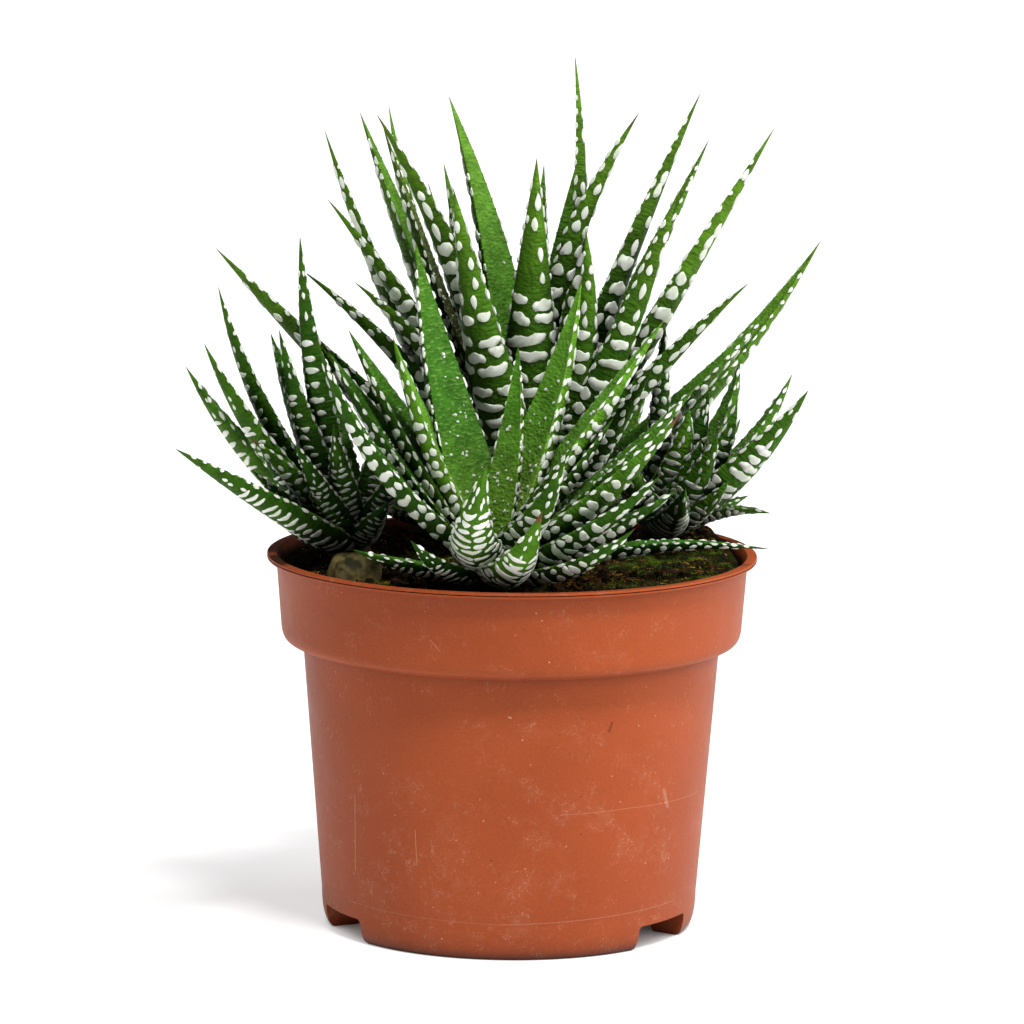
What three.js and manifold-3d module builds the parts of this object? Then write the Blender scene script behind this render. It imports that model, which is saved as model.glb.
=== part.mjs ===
import * as THREE from 'three';
import { mergeVertices } from 'three/addons/utils/BufferGeometryUtils.js';
import Module from 'manifold-3d';

// A clump of zebra haworthia in a 12 cm nursery pot: the moulded pot, its soil, a stone, and the rosettes.
// Millimetres, +Z up, -Y towards the viewer. The origin is on the pot's axis, where its feet stand.

const wasm = await Module();
wasm.setup();

// Pot, a thin moulded shell of polypropylene
const potHeight = 92;
const wall = 1.2;
const lip = { radius: 60, thick: 1.2, width: 2.4 };
const band = { topRadius: 57.8, bottomRadius: 56.2, bottom: 70.6, corner: 3.6, edgeRadius: 53.6 };
const body = { topRadius: 51.2, bottomRadius: 46.2, bottom: 9 };
const foot = { outer: 43.6, inner: 36.6, recess: 6.4 };
const potSides = 48;

// Three drain notches through the foot ring, and the drain holes in the raised floor
const notches = { count: 3, first: -34, width: 20, height: 6, reach: 20 };
const drainHoles = { count: 6, radius: 3.2, ring: 26, sides: 10 };

// Soil
const fit = 0.35;
const floorTop = foot.recess + wall;
const soilTop = 89;
const collarHollow = { depth: 2.6, spread: 11 };
const soilRings = [10, 19, 28, 37, 45, 51];
const peatMound = { at: [45, 27], height: 6, spread: 11 };
const stemHoleDepth = 12;

// Stone at the left of the front rim
const stone = { at: [-38, -24, 90.5], size: [6.6, 5.6, 5.2], detail: 1 };

// Leaves: the outline of the section goes round from one margin over the upper face to the other, then back
// along the keeled underside. Across is in half widths and down in thicknesses.
const section = [
  { across: -1, down: 0 },
  { across: 0, down: 0.12 },
  { across: 1, down: 0 },
  { across: 0.66, down: 0.72 },
  { across: 0, down: 1 },
  { across: -0.66, down: 0.72 },
];
const leafRoot = { out: 3, up: 3, steepUp: 8 };
const leafOutline = { atRoot: 0.75, swell: 1.4, taper: 1.6 };
const leafThickness = { atRoot: 0.4, gain: 0.2, aboveMidrib: 0.4 };
const leafStep = 8.5;
const seamTolerance = 0.03;
const bandRelief = 0.9;
const toothRelief = 0.45;

// The rosettes. Each leaf is a row of tip x, tip y, tip z, width, and bow, which is how far the middle of the
// midrib hangs outside the straight line from root to tip; a negative bow arches over it. A sixth value sways
// the middle sideways.
const rosettes = [
  {
    name: 'rosette_front',
    at: [-5, -34, 88],
    stem: 6,
    leaves: [
      [-24, -14, 170, 18, 3],
      [16, -20, 162, 17, 3],
      [36, -24, 153, 14, 0],
      [1, -27, 147, 11, 0, 2],
      [-29, -30, 149, 14, 2],
      [-47, -36, 149, 13, 6],
      [-40, -18, 149, 16, 1],
      [-32, -24, 124, 12, 3],
      [7, -60, 112, 15, 7, 2],
      [-6, -60, 123, 15, 8, 3.5],
      [12, -58, 123, 13, 3],
      [14, -50, 126, 9, 1],
      [40, -46, 134, 15, 3],
      [44, -29, 138, 13, 2],
      [35, -54, 120, 12, 3],
      [29, -59, 108, 11, 4],
      [63, -16, 96, 9, -4],
      [-38, -46, 100, 10, 1],
      [24, -30, 130, 12, 1],
      [-24, -56, 104, 11, 3],
      [40, -36, 114, 12, 2],
      [-45, -18, 144, 16, 2],
    ],
  },
  {
    name: 'rosette_back',
    at: [3, 14, 88],
    stem: 10,
    leaves: [
      [-47, 10, 195, 14, 4],
      [-46, -1, 179, 15, -4],
      [-39, 34, 197, 16, 1],
      [-34, -4, 200, 17, -6],
      [-32, 44, 198, 11, 6],
      [-33, 22, 195, 12, 1],
      [-22, 40, 179, 10, 1],
      [-18, 30, 185, 13, 1],
      [-17, 36, 201, 16, -6],
      [-15, -14, 183, 18, 2],
      [5, -8, 190, 18, 2],
      [7, 38, 184, 12, 1],
      [15, 30, 185, 15, 0],
      [14, 12, 214, 12, 6],
      [30, -2, 201, 15, -9],
      [17, -9, 173, 14, 5, -4],
      [45, 8, 205, 16, -2],
      [48, 34, 191, 13, 0],
      [39, -10, 182, 16, 3],
      [63, 4, 197, 16, 0],
      [77.5, 60, 163, 16, 7],
      [57, -6, 160, 14, -3],
      [-52, -5, 162, 13, -5],
      [-39, -12, 160, 14, -6],
      [-73, -3, 167, 19, 1],
      [-48, -8, 145, 16, 4],
      [-30, -5, 120, 12, 2],
      [33, -20, 140, 14, 2],
      [-4, 58, 154, 14, 3],
      [22, 54, 148, 14, 3],
      [-30, 54, 148, 14, 3],
      [64, 36, 148, 14, 2],
    ],
  },
  {
    name: 'rosette_left',
    at: [-39, -2, 88],
    stem: 6,
    leaves: [
      [-72, -6, 158, 13, 4],
      [-75, -14, 145, 14, 3],
      [-80, -4, 138, 15, 3],
      [-52, -10, 171, 12, 3],
      [-57, -10, 148, 13, 2],
      [-60, 14, 144, 12, 2],
      [-79.5, -60, 126, 13, 0],
      [-63, -34, 125, 11, -1],
      [-52, -36, 124, 10, 1],
      [-63, -26, 116, 10, 1],
      [-58, -18, 103, 8, 1],
      [-43, -30, 128, 10, 2],
      [-26, -20, 120, 10, 2],
      [-30, -22, 108, 10, 1],
      [-64, 26, 126, 12, 3],
      [-46, 30, 132, 12, 3],
      [-60, 12, 106, 10, 2],
      [-62, -14, 121, 12, 2],
      [-49, -26, 114, 10, 2],
      [-34, -4, 124, 12, 2],
    ],
  },
  {
    name: 'rosette_right',
    at: [36, 18, 90],
    stem: 6,
    leaves: [
      [56, 24, 137, 15, 4],
      [55, 10, 129, 14, 4],
      [69, 22, 134, 13, 4],
      [72, 0, 133, 18, 3],
      [59, 30, 102, 10, 0],
      [64, 14, 100, 9, -3],
      [37, 15, 149, 8, 0],
      [48, 12, 131, 14, 2],
      [50, -2, 122, 13, 3],
      [53, 2, 110, 12, 2],
      [42, -10, 110, 12, 3],
      [26, -6, 118, 12, 2],
      [57, 40, 120, 12, 3],
      [46, 4, 120, 13, 3],
      [43, 4, 128, 13, 3],
    ],
  },
  {
    name: 'rosette_rear',
    at: [-16, 42, 88],
    stem: 6,
    leaves: [
      [-16, 63, 120, 12, 4],
      [-2, 62, 108, 10, 1],
      [-34, 60, 116, 12, 4],
      [-46, 50, 106, 10, 3],
      [-6, 60, 134, 11, 4],
      [-22, 60, 138, 12, 4],
      [-14, 51, 142, 10, 2],
      [-36, 44, 124, 11, 3],
      [-26, 62, 103, 9, 0],
    ],
  },
  {
    name: 'rosette_rear_right',
    at: [16, 42, 88],
    stem: 5,
    leaves: [
      [40, 58, 110, 11, 3],
      [22, 63, 112, 11, 1],
      [46, 50, 103, 9, -1],
      [34, 58, 128, 11, 3],
      [16, 62, 130, 11, 4],
      [24, 52, 134, 10, 2],
      [8, 60, 118, 10, 2],
    ],
  },
];

function merged(geometry) {
  geometry.deleteAttribute('normal');
  geometry.deleteAttribute('uv');
  return mergeVertices(geometry);
}

function solid(geometry) {
  const closed = merged(geometry);
  return new wasm.Manifold(new wasm.Mesh({
    numProp: 3,
    vertProperties: new Float32Array(closed.attributes.position.array),
    triVerts: new Uint32Array(closed.index.array),
  }));
}

function surface(manifold) {
  const mesh = manifold.getMesh();
  const geometry = new THREE.BufferGeometry();
  geometry.setAttribute('position', new THREE.BufferAttribute(new Float32Array(mesh.vertProperties), 3));
  geometry.setIndex(new THREE.BufferAttribute(new Uint32Array(mesh.triVerts), 1));
  geometry.computeVertexNormals();
  return geometry;
}

function part(name, manifold, color, roughness) {
  const material = new THREE.MeshStandardMaterial({ color, roughness, metalness: 0 });
  const mesh = new THREE.Mesh(surface(manifold), material);
  mesh.name = name;
  return mesh;
}

// A solid of revolution about Z, from a closed profile of radius and height
function turned(profile, sides) {
  const points = profile.map(([radius, height]) => new THREE.Vector2(radius, height));
  return solid(new THREE.LatheGeometry(points, sides).rotateX(Math.PI / 2));
}

function upright(radius, height, sides) {
  return new THREE.CylinderGeometry(radius, radius, height, sides).rotateX(Math.PI / 2);
}

function bodyRadius(z) {
  const share = (z - body.bottom) / (band.bottom - body.bottom);
  return THREE.MathUtils.lerp(body.bottomRadius, body.topRadius, share);
}

function bandRadius(z) {
  const share = (z - band.bottom) / (potHeight - band.bottom);
  return THREE.MathUtils.lerp(band.bottomRadius, band.topRadius, share);
}

// Quarter turn from one point of the profile to another, bulging outwards
function roundedCorner([r0, z0], [r1, z1], steps) {
  const corner = r0 < r1 ? [r1, z0] : [r0, z1];
  const curve = new THREE.QuadraticBezierCurve(
    new THREE.Vector2(r0, z0), new THREE.Vector2(...corner), new THREE.Vector2(r1, z1));
  return curve.getPoints(steps).map((point) => [point.x, point.y]);
}

function potShell() {
  const shoulder = band.bottom + band.corner;
  const outside = [
    [0, foot.recess],
    [foot.inner, foot.recess],
    [foot.inner + 0.6, 0],
    ...roundedCorner([foot.outer, 0], [body.bottomRadius, body.bottom], 4),
    [body.topRadius, band.bottom + 0.4],
    ...roundedCorner([band.edgeRadius, band.bottom], [bandRadius(shoulder), shoulder], 3),
    [band.topRadius, potHeight - lip.thick],
    [lip.radius - 0.3, potHeight - lip.thick],
    [lip.radius, potHeight - lip.thick + 0.3],
    [lip.radius, potHeight - 0.3],
    [lip.radius - 0.3, potHeight],
  ];
  const inside = [
    [lip.radius - lip.width, potHeight],
    [band.topRadius - wall, potHeight - 1.6],
    [bandRadius(shoulder) - wall, shoulder],
    [band.edgeRadius - wall, band.bottom + wall + 0.4],
    [body.topRadius - wall, band.bottom - 0.6],
    [body.bottomRadius - wall, body.bottom],
    [body.bottomRadius - wall - 1.2, floorTop],
    [0, floorTop],
  ];
  return turned([...outside, ...inside], potSides);
}

function pot() {
  const cutters = [];
  for (let i = 0; i < notches.count; i += 1) {
    const notch = new THREE.BoxGeometry(notches.reach, notches.width, 2 * notches.height);
    notch.translate(foot.outer, 0, 0);
    notch.rotateZ(THREE.MathUtils.degToRad(notches.first + (360 / notches.count) * i));
    cutters.push(solid(notch));
  }
  for (let i = 0; i < drainHoles.count; i += 1) {
    const hole = upright(drainHoles.radius, 4 * wall, drainHoles.sides);
    hole.translate(drainHoles.ring, 0, foot.recess);
    hole.rotateZ((2 * Math.PI * i) / drainHoles.count);
    cutters.push(solid(hole));
  }
  return part('pot', potShell().subtract(wasm.Manifold.union(cutters)), 0xb9603f, 0.5);
}

// Gentle hollows and mounds of the potting mix; it stands highest behind the right side
function soilHeight(x, y) {
  const waves = Math.sin(0.17 * x + 1.3) * Math.cos(0.15 * y) + 0.5 * Math.sin(0.31 * x - 0.27 * y);
  const fromPeat = Math.hypot(x - peatMound.at[0], y - peatMound.at[1]) / peatMound.spread;
  const mound = peatMound.height * Math.exp(-(fromPeat ** 2));
  const collars = rosettes.map(({ at }) => Math.hypot(x - at[0], y - at[1]) / collarHollow.spread);
  const hollow = collarHollow.depth * Math.exp(-(Math.min(...collars) ** 4));
  return soilTop + 0.4 * waves + mound - hollow;
}

function soil(stems) {
  const rimRadius = bandRadius(soilTop) - wall - fit - 0.3;
  const shoulder = band.bottom + band.corner;
  const profile = [
    [0, floorTop + fit],
    [body.bottomRadius - wall - 1.5 - fit, floorTop + fit],
    [body.bottomRadius - wall - fit - 0.2, body.bottom],
    [body.topRadius - wall - fit - 0.2, band.bottom - 0.6],
    [band.edgeRadius - wall - fit - 0.4, band.bottom + wall + 0.9],
    [bandRadius(shoulder) - wall - fit - 0.3, shoulder],
    [rimRadius, soilTop - 2],
    ...soilRings.map((radius) => [radius, soilTop]).reverse(),
    [0, soilTop],
  ];
  const points = profile.map(([radius, height]) => new THREE.Vector2(radius, height));
  const geometry = merged(new THREE.LatheGeometry(points, 24).rotateX(Math.PI / 2));
  const position = geometry.attributes.position;
  for (let i = 0; i < position.count; i += 1) {
    if (position.getZ(i) > soilTop - 1) {
      position.setZ(i, soilHeight(position.getX(i), position.getY(i)));
    }
  }
  const holes = stems.map(({ at, stem }) => {
    const hole = upright(stem + fit, 2 * stemHoleDepth + 2 * fit, 16);
    return solid(hole.translate(at[0], at[1], at[2]));
  });
  const seat = stoneGeometry(fit);
  return part('soil', solid(geometry).subtract(wasm.Manifold.union([...holes, solid(seat)])), 0x33261b, 0.95);
}

function stoneGeometry(extra) {
  const [length, depth, height] = stone.size;
  const pebble = new THREE.IcosahedronGeometry(1, stone.detail);
  return pebble.scale(length + extra, depth + extra, height + extra).rotateZ(0.5).translate(...stone.at);
}

function leafWidth(along) {
  return Math.min(1, leafOutline.atRoot + leafOutline.swell * along) * (1 - along ** leafOutline.taper);
}

// A leaf is a cone of rings drawn out along its curved midrib, with every second ring raised on the back and
// at the margins, as its rows of tubercles stand.
function leaf(at, [tipX, tipY, tipZ, width, bow, sway = 0]) {
  const heart = new THREE.Vector3(...at);
  const tip = new THREE.Vector3(tipX, tipY, tipZ);
  const heading = new THREE.Vector3(tipX - at[0], tipY - at[1], 0);
  const steepness = Math.atan2(tipZ - at[2], heading.length());
  heading.normalize();
  const root = heart.clone().addScaledVector(heading, leafRoot.out * Math.cos(steepness));
  root.z += leafRoot.up + leafRoot.steepUp * Math.sin(steepness) ** 2;
  const chord = tip.clone().sub(root);
  const level = new THREE.Vector3(heading.y, -heading.x, 0);
  const outward = level.clone().cross(chord).normalize().negate();
  const middle = root.clone().lerp(tip, 0.5).addScaledVector(outward, 2 * bow);
  middle.addScaledVector(level, 2 * sway);
  const midrib = new THREE.QuadraticBezierCurve3(root, middle, tip);

  const rings = THREE.MathUtils.clamp(Math.round(chord.length() / leafStep), 5, 12);
  const geometry = merged(new THREE.ConeGeometry(1, 1, section.length, rings));
  const position = geometry.attributes.position;
  const vertex = new THREE.Vector3();
  for (let i = 0; i < position.count; i += 1) {
    vertex.fromBufferAttribute(position, i);
    const along = vertex.y + 0.5;
    const onMidrib = Math.hypot(vertex.x, vertex.z) < 1e-6;
    const turn = Math.atan2(vertex.x, vertex.z) / (2 * Math.PI);
    const corner = section[Math.round(turn * section.length + section.length) % section.length];
    const raised = Math.round(along * rings) % 2 === 1;
    const share = leafWidth(along);
    const halfWidth = (width / 2) * share + (raised ? toothRelief * share : 0);
    const deep = width * share * (leafThickness.atRoot + leafThickness.gain * along);
    const thick = deep + (raised ? bandRelief * share : 0);
    const tangent = midrib.getTangent(along);
    const upper = level.clone().cross(tangent).normalize();
    vertex.copy(midrib.getPoint(along));
    if (!onMidrib) {
      vertex.addScaledVector(level, halfWidth * corner.across);
      vertex.addScaledVector(upper, thick * (leafThickness.aboveMidrib - corner.down));
    }
    position.setXYZ(i, vertex.x, vertex.y, vertex.z);
  }
  return solid(geometry);
}

function rosette({ name, at, stem, leaves }) {
  const profile = [
    [0, -stemHoleDepth],
    [stem, -stemHoleDepth],
    [stem, -1],
    [0.85 * stem, 3],
    [0.5 * stem, 9],
    [0, 12],
  ];
  const core = turned(profile, 12).translate(at);
  const grown = wasm.Manifold.union([core, ...leaves.map((row) => leaf(at, row))]).simplify(seamTolerance);
  const [whole] = grown.decompose().sort((a, b) => b.volume() - a.volume());
  return part(name, whole, 0x3f6b2c, 0.45);
}

const pottedHaworthia = new THREE.Group();
pottedHaworthia.name = 'potted_haworthia';
pottedHaworthia.add(pot(), soil(rosettes));
pottedHaworthia.add(part('stone', solid(stoneGeometry(0)), 0x8b7c55, 0.9));
rosettes.forEach((row) => pottedHaworthia.add(rosette(row)));

export default pottedHaworthia;
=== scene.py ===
import math
import random

import bpy
import numpy as np
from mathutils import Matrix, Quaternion, Vector, noise


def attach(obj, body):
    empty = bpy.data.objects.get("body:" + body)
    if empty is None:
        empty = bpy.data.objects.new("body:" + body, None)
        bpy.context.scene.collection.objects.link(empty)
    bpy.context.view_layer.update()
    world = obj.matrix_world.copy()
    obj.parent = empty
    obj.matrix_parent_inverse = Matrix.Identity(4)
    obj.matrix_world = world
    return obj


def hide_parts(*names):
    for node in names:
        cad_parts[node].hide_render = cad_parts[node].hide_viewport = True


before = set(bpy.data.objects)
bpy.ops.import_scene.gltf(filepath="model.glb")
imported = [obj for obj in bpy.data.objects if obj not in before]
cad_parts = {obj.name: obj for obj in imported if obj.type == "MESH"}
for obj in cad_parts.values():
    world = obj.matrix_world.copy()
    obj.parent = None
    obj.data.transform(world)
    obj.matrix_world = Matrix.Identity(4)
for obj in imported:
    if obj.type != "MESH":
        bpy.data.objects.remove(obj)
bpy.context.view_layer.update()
mm = 0.001
seeds = {"crumbs": 11, "moss": 23, "fibres": 31, "rosettes": 100}
bpy.ops.object.select_all(action="DESELECT")


# Colours and materials. Four settings that many nodes share come first. Mix takes its share at input 0 and
# its colours at 6 and 7, and gives the colour at output 2. MapRange takes its value at 0, that value's range
# at 1 and 2, and the new range at 3 and 4, which is 0 to 1 where none is given.
mixed = {"data_type": "RGBA"}
multiplied = {"data_type": "RGBA", "blend_type": "MULTIPLY"}
smoothStep = {"interpolation_type": "SMOOTHSTEP"}
product = {"operation": "MULTIPLY"}


def hexColour(text):  # sRGB hex to the linear values that Blender works in
    parts = [int(text[i:i + 2], 16) / 255 for i in (1, 3, 5)]
    linear = [part / 12.92 if part <= 0.04045 else ((part + 0.055) / 1.055) ** 2.4 for part in parts]
    return (*linear, 1.0)


def newMaterial(name):
    material = bpy.data.materials.new(name)
    material.use_nodes = True
    tree = material.node_tree
    return material, tree, tree.nodes["Principled BSDF"]


def setInputs(tree, node, inputs):  # a socket is linked, a hex colour is made linear, a number is set
    for key, value in inputs.items():
        if isinstance(value, bpy.types.NodeSocket):
            tree.links.new(value, node.inputs[key])
        else:
            node.inputs[key].default_value = hexColour(value) if isinstance(value, str) else value


def addNode(tree, kind, settings, inputs, output=0):  # makes a node and gives one of its outputs
    node = tree.nodes.new("ShaderNode" + kind)
    for key, value in settings.items():
        setattr(node, key, value)
    setInputs(tree, node, inputs)
    return node.outputs[output]


def paintWhere(tree, colour, pattern, limits, paint):  # lays paint on, from none at low to its share at high
    low, high, share = limits
    mask = addNode(tree, "MapRange", smoothStep, {0: pattern, 1: low, 2: high, 4: share})
    return addNode(tree, "Mix", mixed, {0: mask, 6: colour, 7: paint}, 2)


def closeShade(tree, darkest, reach):  # dark where things crowd together, closer than the reach in metres
    clear = addNode(tree, "AmbientOcclusion", {"samples": 4}, {"Distance": reach}, "AO")
    return addNode(tree, "MapRange", {}, {0: clear, 1: 0.16, 2: 0.84, 3: darkest})


# A finish in layers: a base colour, noise patterns that each lay a paint over it, the shade of its corners,
# and a bump that follows one of the patterns. Scales are in features per metre.
def mottledMaterial(name, finish):
    material, tree, shader = newMaterial(name)
    place = addNode(tree, "TexCoord", {}, {}, "Object")
    colour, patterns = finish["base"], []
    for scale, detail, limits, paint in finish["layers"]:
        patterns.append(addNode(tree, "TexNoise", {}, {"Vector": place, "Scale": scale, "Detail": detail}))
        colour = paintWhere(tree, colour, patterns[-1], limits, paint)
    if "shade" in finish:
        shade = closeShade(tree, *finish["shade"])
        colour = addNode(tree, "Mix", multiplied, {0: 1.0, 6: colour, 7: shade}, 2)
    setInputs(tree, shader, {"Base Color": colour, "Roughness": finish["roughness"],
                             "Specular IOR Level": finish["specular"]})
    if "bump" in finish:
        which, strength, depth = finish["bump"]
        bump = {"Height": patterns[which], "Strength": strength, "Distance": depth}
        setInputs(tree, shader, {"Normal": addNode(tree, "Bump", {}, bump)})
    return material


# Meshes
def takeApart(blank):  # the points and faces of a modelled blank, which then goes
    points = np.array([vertex.co[:] for vertex in blank.data.vertices])
    faces = [tuple(face.vertices) for face in blank.data.polygons]
    bpy.data.objects.remove(blank)
    return points, faces


def joinCopies(name, copies, material, smooth=True):  # copies holds pairs of placed points and faces
    points, faces, start = [], [], 0
    for placed, blankFaces in copies:
        points.append(placed)
        faces.extend(tuple(start + i for i in face) for face in blankFaces)
        start += len(placed)
    mesh = bpy.data.meshes.new(name)
    mesh.from_pydata(np.concatenate(points).tolist(), [], faces)
    mesh.update()
    mesh.polygons.foreach_set("use_smooth", [smooth] * len(mesh.polygons))
    piece = bpy.data.objects.new(name, mesh)
    bpy.context.scene.collection.objects.link(piece)
    piece.data.materials.append(material)
    return piece


def smoothByAngle(piece, degrees):
    bpy.ops.object.select_all(action="DESELECT")
    piece.select_set(True)
    bpy.context.view_layer.objects.active = piece
    bpy.ops.object.shade_smooth_by_angle(angle=math.radians(degrees))


def finishPiece(piece, slot, *nodes):
    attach(piece, "root")
    if nodes:
        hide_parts(*nodes)


def useModifier(piece, kind, **settings):
    modifier = piece.modifiers.new(kind.title(), kind)
    for key, value in settings.items():
        setattr(modifier, key, value)
    bpy.context.view_layer.objects.active = piece
    bpy.ops.object.modifier_apply(modifier=modifier.name)


def leaveEditMode():  # with all faces pointing outwards
    bpy.ops.mesh.select_all(action="SELECT")
    bpy.ops.mesh.normals_make_consistent(inside=False)
    bpy.ops.object.mode_set(mode="OBJECT")


# A circle drawn out along an outline of radius and height, closed at both ends
def turnShape(name, outline, sides):
    bpy.ops.object.select_all(action="DESELECT")
    bpy.ops.mesh.primitive_circle_add(vertices=sides, radius=outline[0][0], location=(0, 0, 0))
    piece = bpy.context.object
    piece.name = name
    bpy.ops.object.mode_set(mode="EDIT")
    bpy.ops.transform.translate(value=(0, 0, outline[0][1]))
    for (radius, height), (nextRadius, nextHeight) in zip(outline, outline[1:]):
        share = nextRadius / radius
        bpy.ops.mesh.extrude_region_move(TRANSFORM_OT_translate={"value": (0, 0, nextHeight - height)})
        bpy.ops.transform.resize(value=(share, share, 1), center_override=(0, 0, nextHeight))
    bpy.ops.mesh.select_all(action="SELECT")
    bpy.ops.mesh.fill_holes(sides=0)
    leaveEditMode()
    return piece


def roundCorner(first, corner, last, steps):  # points of a bend from first to last, pulled to the corner
    points = []
    for i in range(steps + 1):
        t = i / steps
        pulls = list(zip(((1 - t) ** 2, 2 * t * (1 - t), t * t), (first, corner, last)))
        points.append(tuple(sum(pull * point[axis] for pull, point in pulls) for axis in (0, 1)))
    return points


# Pot: a thin injection moulding of polypropylene, in metres
potPlan = {
    "height": 0.092, "wall": 0.0012, "sides": 192, "soft": 0.00025, "bore": 0.002,
    "lipRadius": 0.060, "lipThick": 0.0012, "lipWidth": 0.0024,
    "bandTop": 0.0578, "bandBottom": 0.0562, "bandFoot": 0.0706, "bandCorner": 0.0036, "bandEdge": 0.0536,
    "bodyTop": 0.0512, "bodyBottom": 0.0462, "heel": 0.009,
    "footOuter": 0.0436, "footInner": 0.0366, "recess": 0.0064,
    "notches": 3, "notchTurn": -34, "notchSize": (0.020, 0.020, 0.012), "notchSoft": 0.0012,
    "drainHoles": 6, "drainRadius": 0.0032, "drainRing": 0.026,
}


def bandRadius(height):
    share = (height - potPlan["bandFoot"]) / (potPlan["height"] - potPlan["bandFoot"])
    return potPlan["bandBottom"] + share * (potPlan["bandTop"] - potPlan["bandBottom"])


def potOutline():  # radius and height: out under the floor, up outside, over the lip and down inside
    p = potPlan
    top, wall, lip, soft, recess = p["height"], p["wall"], p["lipRadius"], p["soft"], p["recess"]
    base, heel, body = p["bodyBottom"], p["heel"], p["bodyTop"]
    band, edge, foot = p["bandTop"], p["bandEdge"], p["bandFoot"]
    shoulder = foot + p["bandCorner"]
    neck = foot + 0.0004
    under = top - p["lipThick"]
    mouth = lip - p["lipWidth"]
    return [
        (p["bore"], recess),
        (p["footInner"] - 0.0005, recess),
        (p["footInner"] + 0.0004, 0.0006),
        (p["footInner"] + 0.0010, 0.0),
        (p["footOuter"] - 0.001, 0.0),
        *roundCorner((p["footOuter"], 0.0), (base, 0.0), (base, heel), 12),
        (base + 0.0001, heel + 0.0006),
        (body - 0.0001, foot - 0.0008),
        *roundCorner((body, neck - 0.0006), (body, neck), (body + 0.0006, neck), 3),
        (edge - 0.0006, foot + 0.0001),  # four points of the band's sharp lower edge
        (edge - 0.0003, foot - 0.0004),
        (edge + 0.0002, foot - 0.0004),
        (edge + 0.0003, foot),
        *roundCorner((edge + 0.0005, foot + 0.0001), (bandRadius(foot), foot),
                     (bandRadius(shoulder), shoulder), 10),
        (band - 0.0001, under - 0.0009),
        *roundCorner((band, under - 0.0006), (band, under), (band + 0.0006, under), 3),
        *roundCorner((lip - soft, under), (lip, under), (lip, under + soft), 4),
        (lip, under + 0.00045),  # three points of the lip's fine groove
        (lip - 0.0004, under + 0.00058),
        (lip, under + 0.00071),
        *roundCorner((lip, top - soft), (lip, top), (lip - soft, top), 4),
        *roundCorner((mouth + soft, top), (mouth, top), (mouth - 0.0001, top - soft), 4),
        (band - wall, top - 0.0016),
        (bandRadius(shoulder) - wall, shoulder),
        (edge - wall, foot + wall + 0.0004),
        (body - wall, foot - 0.0006),
        (base - wall, heel),
        (base - wall - 0.0012, recess + wall),
        (p["bore"], recess + wall),
    ]


def cutOut(piece, cutter):
    useModifier(piece, "BOOLEAN", operation="DIFFERENCE", solver="EXACT", object=cutter)
    bpy.data.objects.remove(cutter)


def makePot(material):
    p = potPlan
    pot = turnShape("nursery_pot", potOutline(), p["sides"])
    for i in range(p["notches"]):
        turn = math.radians(p["notchTurn"] + 360 / p["notches"] * i)
        place = (p["footOuter"] * math.cos(turn), p["footOuter"] * math.sin(turn), 0)
        bpy.ops.mesh.primitive_cube_add(size=1, location=place, rotation=(0, 0, turn), scale=p["notchSize"])
        useModifier(bpy.context.object, "BEVEL", width=p["notchSoft"], segments=3)
        cutOut(pot, bpy.context.object)
    for i in range(p["drainHoles"]):
        turn = 2 * math.pi * i / p["drainHoles"]
        place = (p["drainRing"] * math.cos(turn), p["drainRing"] * math.sin(turn), p["recess"])
        bpy.ops.mesh.primitive_cylinder_add(vertices=32, radius=p["drainRadius"], depth=4 * p["wall"],
                                            location=place)
        cutOut(pot, bpy.context.object)
    smoothByAngle(pot, 40)
    pot.data.materials.append(material)
    finishPiece(pot, "pot_plastic", "pot")


# Injection-moulded polypropylene, coloured through: an even orange brown with a soft, slightly waxy shine.
# Handling leaves pale scuffs, fine scratches and dust on it.
potFinish = {
    # the darkest colour here, for the inside wall above the soil, is painted shade
    "base": "#A64C24", "deep": "#9B451F", "scuff": "#D9AE96", "nick": "#4A2015", "insideShade": "#2E150B",
    "roughness": (0.40, 0.58), "speckScale": 900.0,
    # marks on the front: x and z of both ends, half width, all in metres, then strength
    "scratches": [
        (-0.0374, 0.0374, -0.0372, 0.0183, 0.00013, 0.40),
        (-0.0226, 0.0313, -0.0221, 0.0226, 0.00011, 0.45),
        (0.0121, 0.0363, 0.0289, 0.0365, 0.00016, 0.20),
        (0.0289, 0.0365, 0.0465, 0.0358, 0.00016, 0.20),
        (-0.0386, 0.0100, -0.0020, 0.0091, 0.00020, 0.12),
        (-0.0020, 0.0091, 0.0400, 0.0104, 0.00020, 0.20),
        (0.0372, 0.0395, 0.0382, 0.0350, 0.00060, 0.25),
        (-0.0192, 0.0797, -0.0168, 0.0770, 0.00018, 0.30),
    ],
    "nicks": [(0.0236, 0.0562, 0.0243, 0.0583, 0.00045, 0.7)],
    # painted shade on the inside wall: how far the band leans out per metre of height, the radii between
    # which it starts, carried down to the ground along that lean, and the heights between which it grows or
    # ends
    "lean": 0.075, "insideShadeRadii": (0.05035, 0.05010),
    "insideShadeHeights": [(0.0915, 0.0895, 0.9), (0.070, 0.074, 1.0)],
}


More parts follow.
